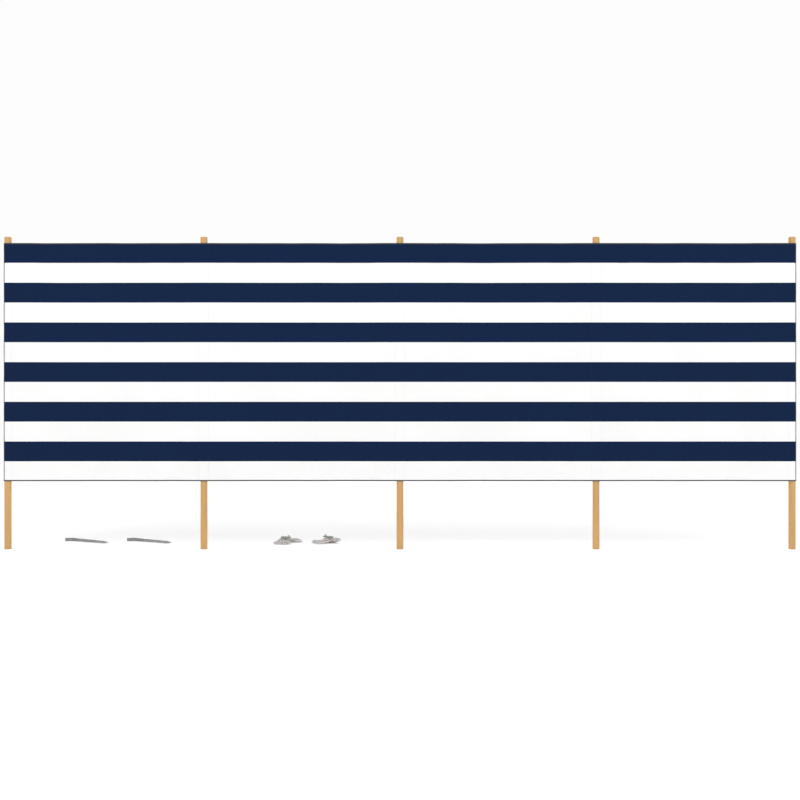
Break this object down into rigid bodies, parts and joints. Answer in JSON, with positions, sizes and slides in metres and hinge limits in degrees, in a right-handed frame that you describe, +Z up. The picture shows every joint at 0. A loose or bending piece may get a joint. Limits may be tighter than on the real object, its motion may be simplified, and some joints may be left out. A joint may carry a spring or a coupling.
{
  "type": "beach windbreak",
  "caption": "Folding beach windbreak: striped canvas screen on wooden poles, with steel pegs and bound guy ropes lying behind it.",
  "frame": {"origin": "centre of the middle pole's flat foot, on the ground", "axes": "+Z up along the poles, +X along the screen to the right seen from the front, front face towards -Y"},
  "size_m": [4, 0.3708, 1.575],
  "materials": {
    "wood": "smooth bare wood",
    "navy_cloth": "woven canvas",
    "white_cloth": "woven canvas",
    "edge_binding": "woven tape",
    "pocket_cloth": "woven canvas",
    "steel": "galvanised",
    "rope": "laid cord",
    "runner": "matt"
  },
  "bodies": {
    "bay_1": {"pole_1": "wood", "navy_stripes_bay_1": "navy_cloth", "white_stripes_bay_1": "white_cloth", "edge_binding_bay_1": "edge_binding", "pole_pocket_1": "pocket_cloth"},
    "bay_2": {"pole_2": "wood", "pole_3": "wood", "navy_stripes_bay_2": "navy_cloth", "white_stripes_bay_2": "white_cloth", "edge_binding_bay_2": "edge_binding", "pole_pocket_2": "pocket_cloth", "pole_pocket_3": "pocket_cloth", "peg_1": "steel", "peg_2": "steel", "guy_rope_1": "rope", "guy_rope_2": "rope", "rope_runner_1": "runner", "rope_runner_2": "runner"},
    "bay_3": {"pole_4": "wood", "navy_stripes_bay_3": "navy_cloth", "white_stripes_bay_3": "white_cloth", "edge_binding_bay_3": "edge_binding", "pole_pocket_4": "pocket_cloth"},
    "bay_4": {"pole_5": "wood", "navy_stripes_bay_4": "navy_cloth", "white_stripes_bay_4": "white_cloth", "edge_binding_bay_4": "edge_binding", "pole_pocket_5": "pocket_cloth"}
  },
  "joints": [
    {"name": "bay_1_fold", "type": "hinge", "parent": "bay_2", "child": "bay_1", "pos_m": [-0.9906, 0, 0.943], "axis": [0, 0, -1], "range_deg": [0, 177]},
    {"name": "bay_3_fold", "type": "hinge", "parent": "bay_2", "child": "bay_3", "pos_m": [0.0273, -0.0193, 0.943], "axis": [0, 0, -1], "range_deg": [0, 177]},
    {"name": "bay_4_fold", "type": "hinge", "parent": "bay_3", "child": "bay_4", "pos_m": [0.9906, 0, 0.943], "axis": [0, 0, 1], "range_deg": [0, 174]}
  ]
}
